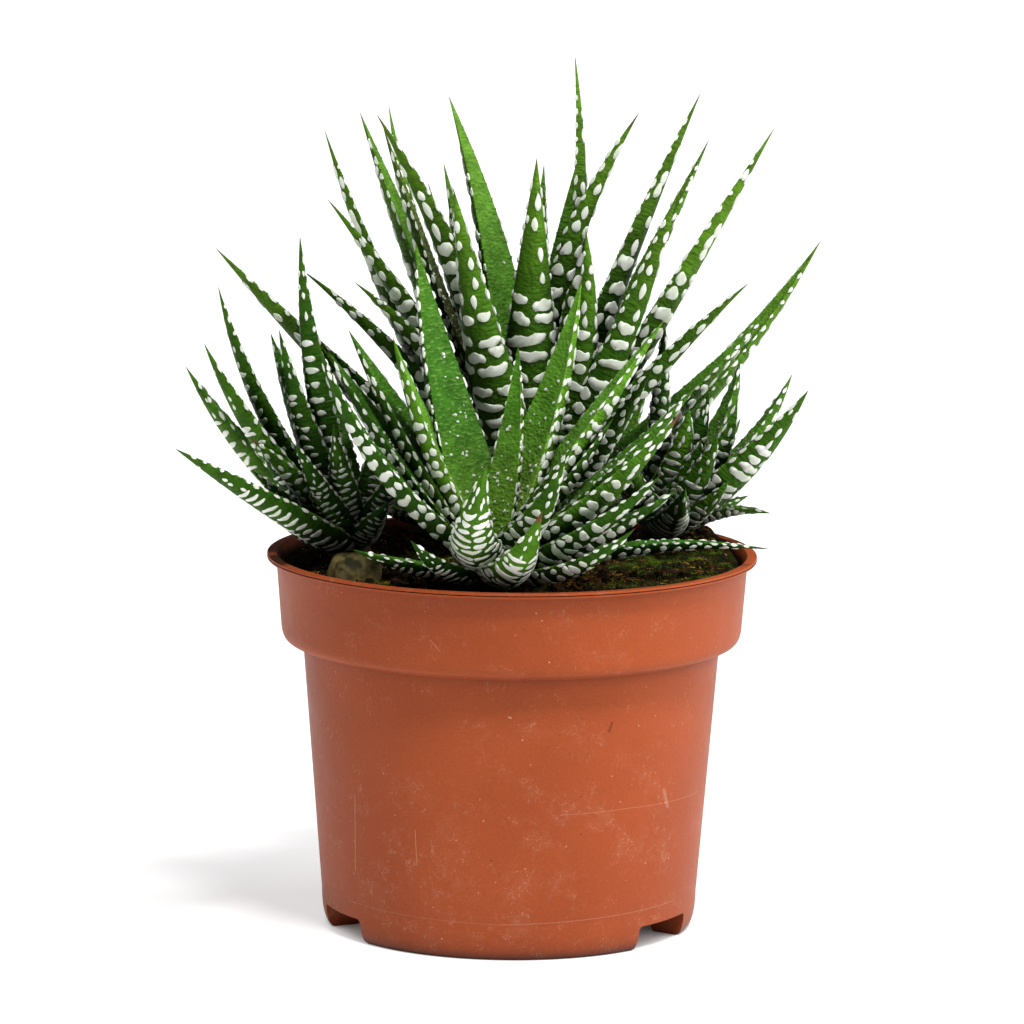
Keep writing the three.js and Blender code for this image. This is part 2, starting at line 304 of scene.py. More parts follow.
def scratchMask(tree, place, row):  # full on the line between two points of the front, none away from it
    x0, z0, x1, z1, half, strength = row
    start, along = Vector((x0, 0, z0)), Vector((x1 - x0, 0, z1 - z0))
    flat = addNode(tree, "VectorMath", product, {0: place, 1: (1, 0, 1)})
    away = addNode(tree, "VectorMath", {"operation": "SUBTRACT"}, {0: flat, 1: start})
    dot = addNode(tree, "VectorMath", {"operation": "DOT_PRODUCT"}, {0: away, 1: along}, "Value")
    share = addNode(tree, "Math", {"operation": "DIVIDE", "use_clamp": True},
                    {0: dot, 1: along.length_squared})
    nearest = addNode(tree, "VectorMath", {"operation": "SCALE"}, {0: along, "Scale": share})
    gap = addNode(tree, "VectorMath", {"operation": "DISTANCE"}, {0: away, 1: nearest}, "Value")
    return addNode(tree, "MapRange", {}, {0: gap, 1: half, 2: 0.0, 4: strength})


def potMaterial():
    finish = potFinish
    material, tree, shader = newMaterial("mouldedPolypropylene")
    place = addNode(tree, "TexCoord", {}, {}, "Object")
    height = addNode(tree, "SeparateXYZ", {}, {"Vector": place}, "Z")
    cloud = addNode(tree, "TexNoise", {}, {"Vector": place, "Scale": 22.0, "Detail": 4.0})
    colour = paintWhere(tree, finish["base"], cloud, (0.35, 0.7, 1.0), finish["deep"])
    # a haze of fine scuffs in patches ten millimetres apart, more of it low on the pot
    patches = addNode(tree, "TexNoise", {}, {"Vector": place, "Scale": 100.0, "Detail": 10.0,
                                             "Roughness": 0.76})
    lower = addNode(tree, "MapRange", smoothStep, {0: height, 1: 0.080, 2: 0.0, 4: 0.06})
    worn = addNode(tree, "Math", {"operation": "ADD"}, {0: patches, 1: lower})
    colour = paintWhere(tree, colour, worn, (0.52, 0.82, 0.11), finish["scuff"])
    # curling hairlines a quarter of a millimetre wide, where the wall is worn
    curls = addNode(tree, "TexNoise", {}, {"Vector": place, "Scale": 240.0, "Detail": 3.0, "Roughness": 0.6})
    away = addNode(tree, "Math", {"operation": "SUBTRACT"}, {0: curls, 1: 0.5})
    away = addNode(tree, "Math", {"operation": "ABSOLUTE"}, {0: away})
    line = addNode(tree, "MapRange", smoothStep, {0: away, 1: 0.012, 2: 0.0, 4: 0.28})
    wear = addNode(tree, "MapRange", smoothStep, {0: worn, 1: 0.48, 2: 0.68})
    hairlines = addNode(tree, "Math", product, {0: line, 1: wear})
    colour = addNode(tree, "Mix", mixed, {0: hairlines, 6: colour, 7: finish["scuff"]}, 2)
    # pale and dark specks about a millimetre apart, then the single marks of the front
    specks = addNode(tree, "TexNoise", {}, {"Vector": place, "Scale": finish["speckScale"], "Detail": 2.0})
    colour = paintWhere(tree, colour, specks, (0.74, 0.79, 0.7), finish["scuff"])
    colour = paintWhere(tree, colour, specks, (0.27, 0.22, 0.5), finish["nick"])
    front = addNode(tree, "SeparateXYZ", {}, {"Vector": place}, "Y")
    facing = addNode(tree, "MapRange", smoothStep, {0: front, 1: -0.01, 2: -0.02})
    for rows, shade in ((finish["scratches"], finish["scuff"]), (finish["nicks"], finish["nick"])):
        for row in rows:
            mask = addNode(tree, "Math", product, {0: scratchMask(tree, place, row), 1: facing})
            colour = addNode(tree, "Mix", mixed, {0: mask, 6: colour, 7: shade}, 2)
    # painted shade: the inside wall is darkened, up to a little under the rim, where soil and leaves shade
    # it
    flat = addNode(tree, "VectorMath", product, {0: place, 1: (1, 1, 0)})
    radius = addNode(tree, "VectorMath", {"operation": "LENGTH"}, {0: flat}, "Value")
    lean, outer, inner = finish["lean"], *finish["insideShadeRadii"]
    upright = addNode(tree, "Math", {"operation": "MULTIPLY_ADD"}, {0: height, 1: -lean, 2: radius})
    insideShade = addNode(tree, "MapRange", smoothStep, {0: upright, 1: outer, 2: inner})
    for low, high, share in finish["insideShadeHeights"]:
        limit = addNode(tree, "MapRange", smoothStep, {0: height, 1: low, 2: high, 4: share})
        insideShade = addNode(tree, "Math", product, {0: insideShade, 1: limit})
    colour = addNode(tree, "Mix", mixed, {0: insideShade, 6: colour, 7: finish["insideShade"]}, 2)
    # the moulding's fine grain, a third of a millimetre across, and the shade under the lip and the band
    dust = addNode(tree, "TexNoise", {}, {"Vector": place, "Scale": 2600.0, "Detail": 2.0})
    dust = addNode(tree, "MapRange", {}, {0: dust, 1: 0.3, 2: 0.7, 3: 0.90, 4: 1.10})
    for shade in (dust, closeShade(tree, 0.30, 0.004), closeShade(tree, 0.55, 0.024)):
        colour = addNode(tree, "Mix", multiplied, {0: 1.0, 6: colour, 7: shade}, 2)
    glossy, dull = finish["roughness"]
    rough = addNode(tree, "MapRange", {}, {0: patches, 1: 0.3, 2: 0.7, 3: glossy, 4: dull})
    # the mould's own faint waviness and grain
    grain = addNode(tree, "TexNoise", {}, {"Vector": place, "Scale": finish["speckScale"], "Detail": 3.0})
    bump = addNode(tree, "Bump", {}, {"Height": grain, "Strength": 0.12, "Distance": 0.0004})
    bump = addNode(tree, "Bump", {}, {"Height": cloud, "Strength": 0.25, "Distance": 0.0010, "Normal": bump})
    setInputs(tree, shader, {"Base Color": colour, "Roughness": rough, "Normal": bump, "IOR": 1.49,
                             "Specular IOR Level": 0.18})
    return material


# Soil, its crumbs, fibres and moss. The heads' places are in millimetres from the pot's foot.
heads = {
    "rosette_front": (-5, -34, 88),
    "rosette_back": (3, 14, 88),
    "rosette_left": (-39, -2, 88),
    "rosette_right": (36, 18, 90),
    "rosette_rear": (-16, 42, 88),
    "rosette_rear_right": (16, 42, 88),
}
soilPlan = {  # in millimetres
    "top": 89.0, "fit": 0.35, "sides": 288, "rings": 84, "lumps": (1.1, 0.5), "hollows": 0.4,
    "peatMound": (45, 27, 6, 11), "collarDepth": 0.8, "collarSpread": 11, "mossRise": 0.9, "reach": 54.0,
    "crumbs": 4000, "crumbSize": (0.25, 1.3), "crumbGap": 1.7, "threadGap": 1.5,
    "blades": 10000, "yellowBlades": 1300, "bladeLength": (0.6, 1.7), "bladeRadius": (0.13, 0.25),
    "fibres": 2500, "fibreLength": (1.2, 4.2), "fibreRadius": (0.08, 0.18), "bunched": 0.75,
}
# Patches of moss: x, y, radius in millimetres, and how full
yellowPatches = [
    (-49, 20, 3.5, 1.0), (-34, -6, 3, 1.0), (-30, -29, 3, 1.0), (41, 20, 3.5, 0.8), (45, -2, 3, 0.4),
]
mossPatches = [
    (-51, 22, 5, 0.5), (-40, -22, 6, 0.5), (-30, -36, 6, 0.5), (37, 6, 12, 1.0),
    (47, 6, 9, 1.0), (31, -8, 8, 0.8), (45, -18, 10, 0.5), (30, -30, 9, 0.4), (-20, 10, 9, 0.4),
    (20, 30, 9, 0.5), (-42, 22, 8, 0.4), (-6, -12, 8, 0.4), (0, 52, 7, 0.6), (51, 14, 6, 0.6),
]
# Bunches of fibres, densest beside the front head and on the mound: x, y and spread in millimetres
fibreBunches = [
    (16, -24, 5), (22, -25, 5), (15, -17, 8), (21, -19, 8), (12, -24, 8), (18, -22, 6), (14, -27, 6),
    (45, 27, 12), (40, 20, 9), (18, -40, 8), (-47, -24, 8),
]


def mossShare(x, y, patches=mossPatches):
    return max(full * math.exp(-(math.hypot(x - atX, y - atY) / radius) ** 4)
               for atX, atY, radius, full in patches)


def soilHeight(x, y):  # hollows some 20 mm wide, a mound, cushions of moss, and a dip round each head
    waves = math.sin(0.17 * x + 1.3) * math.cos(0.15 * y) + 0.5 * math.sin(0.31 * x - 0.27 * y)
    moundX, moundY, moundHeight, moundSpread = soilPlan["peatMound"]
    mound = moundHeight * math.exp(-(math.hypot(x - moundX, y - moundY) / moundSpread) ** 2)
    nearest = min(math.hypot(x - head[0], y - head[1]) for head in heads.values()) / soilPlan["collarSpread"]
    raised = soilPlan["top"] + soilPlan["hollows"] * waves + mound + soilPlan["mossRise"] * mossShare(x, y)
    return raised - soilPlan["collarDepth"] * math.exp(-nearest ** 4)


def makeSoil(material):
    p, fit, wall, floor = potPlan, soilPlan["fit"] * mm, potPlan["wall"], potPlan["recess"] + potPlan["wall"]
    shoulder = p["bandFoot"] + p["bandCorner"]
    top = soilPlan["top"] * mm
    rim = bandRadius(top) - wall - fit - 0.0003
    soil = turnShape("potting_soil", [
        (p["bore"], floor + fit),
        (p["bodyBottom"] - wall - 0.0015 - fit, floor + fit),
        (p["bodyBottom"] - wall - fit - 0.0002, p["heel"]),
        (p["bodyTop"] - wall - fit - 0.0002, p["bandFoot"] - 0.0006),
        (p["bandEdge"] - wall - fit - 0.0004, p["bandFoot"] + wall + 0.0009),
        (bandRadius(shoulder) - wall - fit - 0.0003, shoulder),
        (rim, top - 0.0025),
        *[(rim + (0.001 - rim) * i / soilPlan["rings"], top) for i in range(soilPlan["rings"] + 1)],
    ], soilPlan["sides"])
    wide, narrow = soilPlan["lumps"]
    for vertex in soil.data.vertices:
        if vertex.co.z > top - 0.0001:
            x, y = vertex.co.x / mm, vertex.co.y / mm
            rough = noise.fractal(Vector((x, y, 0)) * 0.35, 1.0, 2.0, 4)
            lumps = noise.noise(Vector((x, y, 7)) * 0.9)
            edge = min(1.0, (rim / mm - math.hypot(x, y)) / 3)  # lower lumps within 3 mm of the wall
            vertex.co.z = (soilHeight(x, y) + (wide * rough + narrow * lumps) * (0.35 + 0.65 * edge)) * mm
    smoothByAngle(soil, 55)
    soil.data.materials.append(material)
    finishPiece(soil, "potting_mix", "soil")


def onSoil(draw):  # a random place on the soil, in millimetres
    turn, far = draw.uniform(0, 2 * math.pi), soilPlan["reach"] * math.sqrt(draw.random())
    x, y = far * math.cos(turn), far * math.sin(turn)
    return x, y, soilHeight(x, y)


def insidePot(points, z, gap):  # whether what lies on the soil at height z keeps clear of the wall
    return np.hypot(points[:, 0], points[:, 1]).max() < bandRadius(z * mm) / mm - gap


def randomTurn(draw):
    return np.array(Quaternion([draw.gauss(0, 1) for _ in range(4)]).normalized().to_matrix())


def makeCrumbs(material):  # crumbs of peat and bark between half a millimetre and four
    draw = random.Random(seeds["crumbs"])
    bpy.ops.mesh.primitive_ico_sphere_add(subdivisions=1, radius=1)
    points, faces = takeApart(bpy.context.object)
    smallest, growth = soilPlan["crumbSize"]
    copies = []
    for _ in range(soilPlan["crumbs"]):
        x, y, z = onSoil(draw)
        if draw.random() < 1.4 * mossShare(x, y):  # few crumbs lie on moss
            continue
        size = smallest + growth * draw.random() ** 5
        shape = points * [draw.uniform(0.6, 1.3) for _ in range(3)]
        shape = shape * (1 + 0.25 * np.sin(points @ np.array([3.1, 5.3, 4.7]) * 2 + x))[:, None]
        placed = shape @ randomTurn(draw) * size + [x, y, z + 0.15 * size + draw.uniform(-0.2, 0.3)]
        if insidePot(placed, z, soilPlan["crumbGap"]):
            copies.append((placed * mm, faces))
    finishPiece(joinCopies("soil_crumbs", copies, material, smooth=False), "potting_mix")


def strand(root, lean, length, droop, radius, steps):  # a thin tapering thread with three sides
    root, lean = np.array(root, float), np.array(lean, float)
    side = np.cross(lean, [0.3, 0.4, 0.86])
    side /= np.linalg.norm(side)
    other = np.cross(lean, side)
    points, faces = [], []
    for i in range(steps):
        t = i / steps
        centre = root + lean * length * t + np.array(droop) * t * t
        for turn in (0, 2.09, 4.19):
            points.append(centre + radius * (1 - 0.6 * t) * (side * math.cos(turn) + other * math.sin(turn)))
    points.append(root + lean * length + np.array(droop))
    for i in range(steps - 1):
        for k in range(3):
            a, b = 3 * i + k, 3 * i + (k + 1) % 3
            faces.append((a, b, b + 3, a + 3))
    last = 3 * (steps - 1)
    faces.extend((last + k, last + (k + 1) % 3, 3 * steps) for k in range(3))
    faces.append((2, 1, 0))
    return np.array(points), faces


def makeMoss(name, blades, patches, material):  # short blades, near upright
    draw = random.Random(seeds["moss"])
    copies = []
    while len(copies) < blades:
        x, y, z = onSoil(draw)
        if draw.random() > mossShare(x, y, patches):
            continue
        lean = np.array([draw.gauss(0, 0.5), draw.gauss(0, 0.5), 1.0])
        lean /= np.linalg.norm(lean)
        length = draw.uniform(*soilPlan["bladeLength"])
        droop = [draw.gauss(0, 0.25) * length, draw.gauss(0, 0.25) * length, -0.15 * length]
        radius = draw.uniform(*soilPlan["bladeRadius"])
        points, faces = strand((x, y, z - 0.4), lean, length, droop, radius, 2)
        if insidePot(points, z, soilPlan["threadGap"]):
            copies.append((points * mm, faces))
    finishPiece(joinCopies(name, copies, material), "potting_mix")


def makeFibres(material):  # peat and coir fibres that lie on the soil
    draw = random.Random(seeds["fibres"])
    copies = []
    while len(copies) < soilPlan["fibres"]:
        x, y, z = onSoil(draw)
        if draw.random() < soilPlan["bunched"]:
            atX, atY, spread = draw.choice(fibreBunches)
            x, y = atX + draw.gauss(0, spread / 2), atY + draw.gauss(0, spread / 2)
            z = soilHeight(x, y)
        turn = draw.uniform(0, 2 * math.pi)
        lean = np.array([math.cos(turn), math.sin(turn), draw.uniform(0.0, 0.9)])
        lean /= np.linalg.norm(lean)
        length = draw.uniform(*soilPlan["fibreLength"])
        sway = [draw.gauss(0, 0.42) * length, draw.gauss(0, 0.42) * length]
        fall = -length * lean[2] * draw.uniform(0.6, 1.0)
        radius = draw.uniform(*soilPlan["fibreRadius"])
        points, faces = strand((x, y, z), lean, length, [*sway, fall], radius, 4)
        if insidePot(points, z, soilPlan["threadGap"]):
            copies.append((points * mm, faces))
    finishPiece(joinCopies("peat_fibres", copies, material), "potting_mix")


# Peat potting mix: near black and matt when damp, with lighter brown grit and a thin green film in places
soilFinish = {
    "base": "#0D0804",
    "layers": [(420.0, 5.0, (0.35, 0.72, 1.0), "#30200C"), (70.0, 3.0, (0.46, 0.58, 0.8), "#262C08")],
    "bump": (0, 0.7, 0.0006), "roughness": 0.92, "specular": 0.06,
}


def looseFinish(dark, light, scale, roughness):  # what lies on the soil: matt, mottled from piece to piece
    layers = [(scale, 2.0, (0.38, 0.64, 1.0), light)]
    return {"base": dark, "layers": layers, "roughness": roughness, "specular": 0.1}


looseFinishes = {
    "peatCrumbs": looseFinish("#0E0905", "#3A270E", 300.0, 0.9),  # damp peat and bark, near black to brown
    "cushionMoss": looseFinish("#0D1603", "#475C10", 220.0, 0.8),  # living moss, deep to olive green
    "yellowMoss": looseFinish("#3C3606", "#9A8A14", 220.0, 0.8),  # moss that dries out, mustard yellow
    "peatFibres": looseFinish("#3A240C", "#B98A48", 300.0, 0.8),  # dry peat and coir, brown to straw
}


# Stone: a water-worn pebble
stonePlan = {
    "at": (-0.038, -0.024, 0.0905), "size": (0.0066, 0.0056, 0.0052), "turn": 0.5,
    "squareness": 0.8, "lumps": (0.10, 0.03),
}


def makeStone(material):
    bpy.ops.object.select_all(action="DESELECT")
    bpy.ops.mesh.primitive_ico_sphere_add(subdivisions=5, radius=1, location=(0, 0, 0))
    stone = bpy.context.object
    stone.name = "pebble"
    wide, narrow = stonePlan["lumps"]
    for vertex in stone.data.vertices:
        vertex.co = Vector([math.copysign(abs(part) ** stonePlan["squareness"], part) for part in vertex.co])
        lump = wide * noise.noise(vertex.co * 1.3 + Vector((3, 1, 4))) + narrow * noise.noise(vertex.co * 4)
        vertex.co *= 0.97 + lump
    stone.scale, stone.location = stonePlan["size"], stonePlan["at"]
    stone.rotation_euler.z = stonePlan["turn"]
    bpy.ops.object.transform_apply(location=True, rotation=True, scale=True)
    bpy.ops.object.shade_smooth()
    stone.data.materials.append(material)
    finishPiece(stone, "stone", "stone")


# Sandstone pebble: dull tan with an olive film of algae and fine dark pits
stoneFinish = {
    "base": "#23240C",
    "layers": [(240.0, 5.0, (0.35, 0.62, 1.0), "#7A6C42"), (1500.0, 3.0, (0.58, 0.70, 0.7), "#3A3620")],
    "bump": (1, 0.4, 0.0003), "roughness": 0.75, "specular": 0.15,
}


# Leaves. Each row is tip x, y, z and width in millimetres, then the bow of the midrib, and for some a
# sideways sway and the name of a look. Bow and sway are how far the midrib's middle stands off the straight.
leafRows = {
    "rosette_front": [
        (-24, -14, 170, 18, 3, 0, "calm"), (16, -20, 162, 17, 3, 0, "bright"),
        (36, -24, 153, 14, 0, 0, "bright"), (1, -27, 147, 11, 0, 2, "calm"),
        (-29, -30, 149, 14, 2, 0, "bright"), (-47, -36, 149, 13, 6), (-40, -18, 149, 16, 1),
        (-32, -24, 124, 12, 3), (7, -60, 112, 15, 7, 2, "orangeTip"), (-6, -60, 123, 15, 8, 3.5, "banded"),
        (12, -58, 123, 13, 3), (14, -50, 126, 9, 1), (40, -46, 134, 15, 3, 0, "tanTip"),
        (44, -29, 138, 13, 2), (35, -54, 120, 12, 3), (29, -59, 108, 11, 4), (63, -16, 96, 9, -4, 0, "deep"),
        (-38, -46, 100, 10, 1, 0, "spotted"), (24, -30, 130, 12, 1), (-24, -56, 104, 11, 3, 0, "spotted"),
        (40, -36, 114, 12, 2), (-45, -18, 144, 16, 2),
    ],
    "rosette_back": [
        (-47, 10, 195, 14, 4), (-46, -1, 179, 15, -4), (-39, 34, 197, 16, 1),
        (-34, -4, 200, 17, -6, 0, "brownTip"), (-32, 44, 198, 11, 6), (-33, 22, 195, 12, 1, 0, "purple"),
        (-22, 40, 179, 10, 1), (-18, 30, 185, 13, 1), (-17, 36, 201, 16, -6, 0, "smooth"),
        (-15, -14, 183, 18, 2), (5, -8, 190, 18, 2), (7, 38, 184, 12, 1), (15, 30, 185, 15, 0, 0, "smooth"),
        (14, 12, 214, 12, 6), (30, -2, 201, 15, -9, 0, "brownTip"), (17, -9, 173, 14, 5, -4),
        (45, 8, 205, 16, -2), (48, 34, 191, 13, 0), (39, -10, 182, 16, 3), (63, 4, 197, 16, 0),
        (77.5, 60, 163, 16, 7), (57, -6, 160, 14, -3), (-52, -5, 162, 13, -5), (-39, -12, 160, 14, -6),
        (-73, -3, 167, 19, 1), (-48, -8, 145, 16, 4), (-30, -5, 120, 12, 2), (33, -20, 140, 14, 2),
        (-4, 58, 154, 14, 3), (22, 54, 148, 14, 3), (-30, 54, 148, 14, 3), (64, 36, 148, 14, 2),
    ],
    "rosette_left": [
        (-72, -6, 158, 13, 4), (-75, -14, 145, 14, 3), (-80, -4, 138, 15, 3), (-52, -10, 171, 12, 3),
        (-57, -10, 148, 13, 2), (-60, 14, 144, 12, 2), (-79.5, -60, 126, 13, 0),
        (-63, -34, 125, 11, -1, 0, "tanTip"), (-52, -36, 124, 10, 1), (-63, -26, 116, 10, 1),
        (-58, -18, 103, 8, 1), (-43, -30, 128, 10, 2), (-26, -20, 120, 10, 2), (-30, -22, 108, 10, 1),
        (-64, 26, 126, 12, 3), (-46, 30, 132, 12, 3), (-60, 12, 106, 10, 2), (-62, -14, 121, 12, 2),
        (-49, -26, 114, 10, 2), (-34, -4, 124, 12, 2),
    ],
    "rosette_right": [
        (56, 24, 137, 15, 4), (55, 10, 129, 14, 4), (69, 22, 134, 13, 4), (72, 0, 133, 18, 3),
        (59, 30, 102, 10, 0), (64, 14, 100, 9, -3), (37, 15, 149, 8, 0), (48, 12, 131, 14, 2),
        (50, -2, 122, 13, 3), (53, 2, 110, 12, 2), (42, -10, 110, 12, 3), (26, -6, 118, 12, 2),
        (57, 40, 120, 12, 3), (46, 4, 120, 13, 3), (43, 4, 128, 13, 3),
    ],
    "rosette_rear": [
        (-16, 63, 120, 12, 4), (-2, 62, 108, 10, 1), (-34, 60, 116, 12, 4), (-46, 50, 106, 10, 3),
        (-6, 60, 134, 11, 4), (-22, 60, 138, 12, 4), (-14, 51, 142, 10, 2), (-36, 44, 124, 11, 3),
        (-26, 62, 103, 9, 0),
    ],
    "rosette_rear_right": [
        (40, 58, 110, 11, 3), (22, 63, 112, 11, 1), (46, 50, 103, 9, -1), (34, 58, 128, 11, 3),
        (16, 62, 130, 11, 4), (24, 52, 134, 10, 2), (8, 60, 118, 10, 2),
    ],
}
usualLook = {"rosette_front": "ovals", "rosette_right": "ovals", "rosette_left": "spotted"}
stemRadii = {
    "rosette_front": 6, "rosette_back": 10, "rosette_left": 6, "rosette_right": 6, "rosette_rear": 6,
    "rosette_rear_right": 5,
}


# How green a leaf is, from 0 for deep green to 1 for yellow green, its dried tip as a share of its length,
# how purple it is, and shares of the usual for the size of its white marks, the number of its margin dashes
# and dots, the distance of its rows and how far up its bands go
def leafLook(tone, **changes):
    return {"tone": tone, "dry": 0.012, "purple": 0.0, "marks": 1.0, "dashes": 1.0, "dots": 1.0,
            "pitch": 1.0, "bands": 1.0, **changes}


leafLooks = {
    "usual": leafLook(0.35),
    "ovals": leafLook(0.32, marks=1.15, bands=0.9),
    "spotted": leafLook(0.15, marks=0.55, bands=0.2, pitch=0.85),
    "deep": leafLook(0.0, marks=0.8, bands=0.5),
    "bright": leafLook(0.95, dry=0.006),
    "calm": leafLook(0.08, dry=0.006),
    "smooth": leafLook(0.42, dry=0.006, dashes=0.25, dots=0.2),
    "purple": leafLook(0.2, dry=0.02, purple=0.85),
    "brownTip": leafLook(0.3, dry=0.02),
    "tanTip": leafLook(0.35, dry=0.05, marks=1.1, bands=0.72),
    "orangeTip": leafLook(0.25, dry=0.05, marks=1.2, bands=1.25, pitch=0.78),
    "banded": leafLook(0.25, dry=0.01, marks=1.2, bands=1.25, pitch=0.78),
}
leafPlan = {
    "sides": 18, "rings": 36, "channel": 0.13, "keel": 0.16, "root": (3, 3, 8),
    "outline": (0.75, 1.4, 1.6), "thickness": (0.4, 0.2, 0.4),
}


def growLeaf(at, row, look):  # the three points of the midrib's curve, and the leaf's sizes, in millimetres
    heart, tip = Vector(at), Vector(row[:3])
    width, bow = row[3:5]
    sway = row[5] if len(row) > 5 else 0
    heading = Vector((tip.x - heart.x, tip.y - heart.y, 0))
    steepness = math.atan2(tip.z - heart.z, heading.length)
    heading.normalize()
    out, up, steepUp = leafPlan["root"]
    root = heart + heading * out * math.cos(steepness)
    root.z += up + steepUp * math.sin(steepness) ** 2
    level = Vector((heading.y, -heading.x, 0))
    outward = -level.cross(tip - root).normalized()
    middle = (root + tip) / 2 + outward * 2 * bow + level * 2 * sway
    return {
        "root": np.array(root), "middle": np.array(middle), "tip": np.array(tip), "level": np.array(level),
        "width": width, "length": (tip - root).length, "look": leafLooks[row[6] if len(row) > 6 else look],
    }


def leafShare(along):  # the width along a leaf, as shares of its greatest width
    atRoot, swell, taper = leafPlan["outline"]
    return np.minimum(1, atRoot + swell * along) * (1 - np.clip(along, 0, 1) ** taper)


def shareAt(along):
    return float(leafShare(np.array([along]))[0])


def backDepth(across):  # depth of the underside, a half round with a slight keel
    keel = leafPlan["keel"]
    return (1 - keel) * np.sqrt(np.clip(1 - across ** 2, 0, 1)) + keel * (1 - np.abs(across))


# The places of many points of a leaf, each given by its shares of the length, the width and the depth
def leafPlaces(leaf, along, across, down):
    t = along[:, None]
    root, middle, tip, level = leaf["root"], leaf["middle"], leaf["tip"], leaf["level"]
    line = (1 - t) ** 2 * root + 2 * t * (1 - t) * middle + t * t * tip
    tangent = (1 - t) * (middle - root) + t * (tip - middle)
    upper = np.cross(level, tangent)
    upper /= np.linalg.norm(upper, axis=1, keepdims=True)
    share = leafShare(along)
    atRoot, gain, above = leafPlan["thickness"]
    half = leaf["width"] / 2 * share
    thick = leaf["width"] * share * (atRoot + gain * along)
    return line + (half * across)[:, None] * level + (thick * (above - down))[:, None] * upper


def backPlaces(leaf, along, turn):  # turn is -90 degrees at one margin, 0 at the keel and 90 at the other
    across = np.sin(turn)
    over = np.clip(np.abs(turn) - math.pi / 2, 0, 1)  # a mark that passes the margin curls up over it
    down = np.where(over > 0, -0.25 * over, backDepth(across))
    return leafPlaces(leaf, along, across, down)


def upperPlaces(leaf, along, across):
    return leafPlaces(leaf, along, across, leafPlan["channel"] * (1 - across ** 2))


def outwards(places, leaf, along, second):  # places, and unit normals that point out of the back
    aheadStep, asideStep = 0.002, 0.02
    here = places(leaf, along, second)
    ahead = places(leaf, along + aheadStep, second) - here
    aside = places(leaf, along, second + asideStep) - here
    normal = np.cross(ahead, aside)
    normal /= np.linalg.norm(normal, axis=1, keepdims=True) + 1e-12
    return here, normal


def leafBlank():  # a cone of rings, one unit long and wide, with its tip at the top
    rings = leafPlan["rings"]
    bpy.ops.object.select_all(action="DESELECT")
    bpy.ops.mesh.primitive_circle_add(vertices=leafPlan["sides"], radius=1, fill_type="NGON")
    bpy.ops.object.mode_set(mode="EDIT")
    for _ in range(rings):
        bpy.ops.mesh.extrude_region_move(TRANSFORM_OT_translate={"value": (0, 0, 1 / rings)})
    bpy.ops.mesh.merge(type="CENTER")
    leaveEditMode()
    return takeApart(bpy.context.object)


def shapeLeaf(leaf, points):
    along, across = np.clip(points[:, 2], 0, 1), -points[:, 0]
    upper = points[:, 1] > 1e-4
    down = np.where(upper, leafPlan["channel"] * (1 - across ** 2), backDepth(across))
    return leafPlaces(leaf, along, across, down)


# Tubercles. Each mark is its place along and round the back, its half length and half width in millimetres,
# its height, how far its ends bend towards the tip, how far it leans, and the two phases of its lobed edge.
# They stand in rows: wide bands on the lower back, ovals above them, drops near the tip. Dashes stand on the
# margins, small green teeth between them, and small dots on the upper face.
loafPlan = {"columns": 7, "under": -0.35, "drop": 0.42, "inset": 0.12, "corner": 0.10, "narrow": 0.45}
tuberclePlan = {
    "height": 0.34, "pitch": (1.0, 0.034), "usualPitch": 4.0, "largest": 1.35, "arc": 82, "gap": 0.5,
    "radius": 0.46, "bandFrom": 1.3, "lobe": 1.25, "widest": 1.25, "widestAtTip": 0.6, "tipFrom": 0.8,
    "bandsTo": (0.48, 0.62), "ovalsTo": (0.62, 0.74), "pairsTo": 0.82, "end": 0.90,
    "bandSplits": [(1, 2.6, 1), (1.5, 1.7), (1, 1.2, 1), (0.8, 1.6, 1.5, 0.8), (2.2, 1.1, 0.8),
                   (0.8, 1.1, 2.2), (0.9, 3.2)],
    "ovalSplits": [(1, 1), (1, 1, 1), (1.3, 1)],
}
dashPlan = {"from": 0.05, "end": 0.93, "turn": (87, 4), "halfLong": (0.6, 1.35), "halfWide": (0.34, 0.60),
            "pitch": (2.6, 4.2)}
toothPlan = {"from": 0.08, "end": 0.97, "size": (0.35, 0.6), "pitch": (2.4, 4.0)}
dotPlan = {"count": (26, 44), "from": 0.08, "spread": 0.56, "across": 0.75, "size": (0.22, 0.62)}


def loafBlank():  # a low loaf two units square: a grid whose sides go down, with rounded ends
    plan = loafPlan
    bpy.ops.object.select_all(action="DESELECT")
    bpy.ops.mesh.primitive_grid_add(x_subdivisions=plan["columns"], y_subdivisions=2, size=2)
    bpy.ops.object.mode_set(mode="EDIT")
    bpy.ops.mesh.select_all(action="SELECT")
    bpy.ops.mesh.extrude_region_move(TRANSFORM_OT_translate={"value": (0, 0, -1)})
    bpy.ops.mesh.dissolve_faces()
    leaveEditMode()
    points, faces = takeApart(bpy.context.object)
    across, along, low = points[:, 0].copy(), points[:, 1].copy(), points[:, 2] < -0.5
    atEnd = np.abs(across) > 0.99
    edge = np.maximum(np.abs(along), atEnd)
    spread = np.where(low, 1.0, 1 - plan["inset"] * edge)
    points[:, 0] = across * (1 - plan["corner"] * np.abs(along) * atEnd) * spread
    points[:, 1] = along * (1 - plan["narrow"] * np.abs(across) ** 3) * spread
    points[:, 2] = np.where(low, plan["under"], 1 - plan["drop"] * edge)
    return points, faces


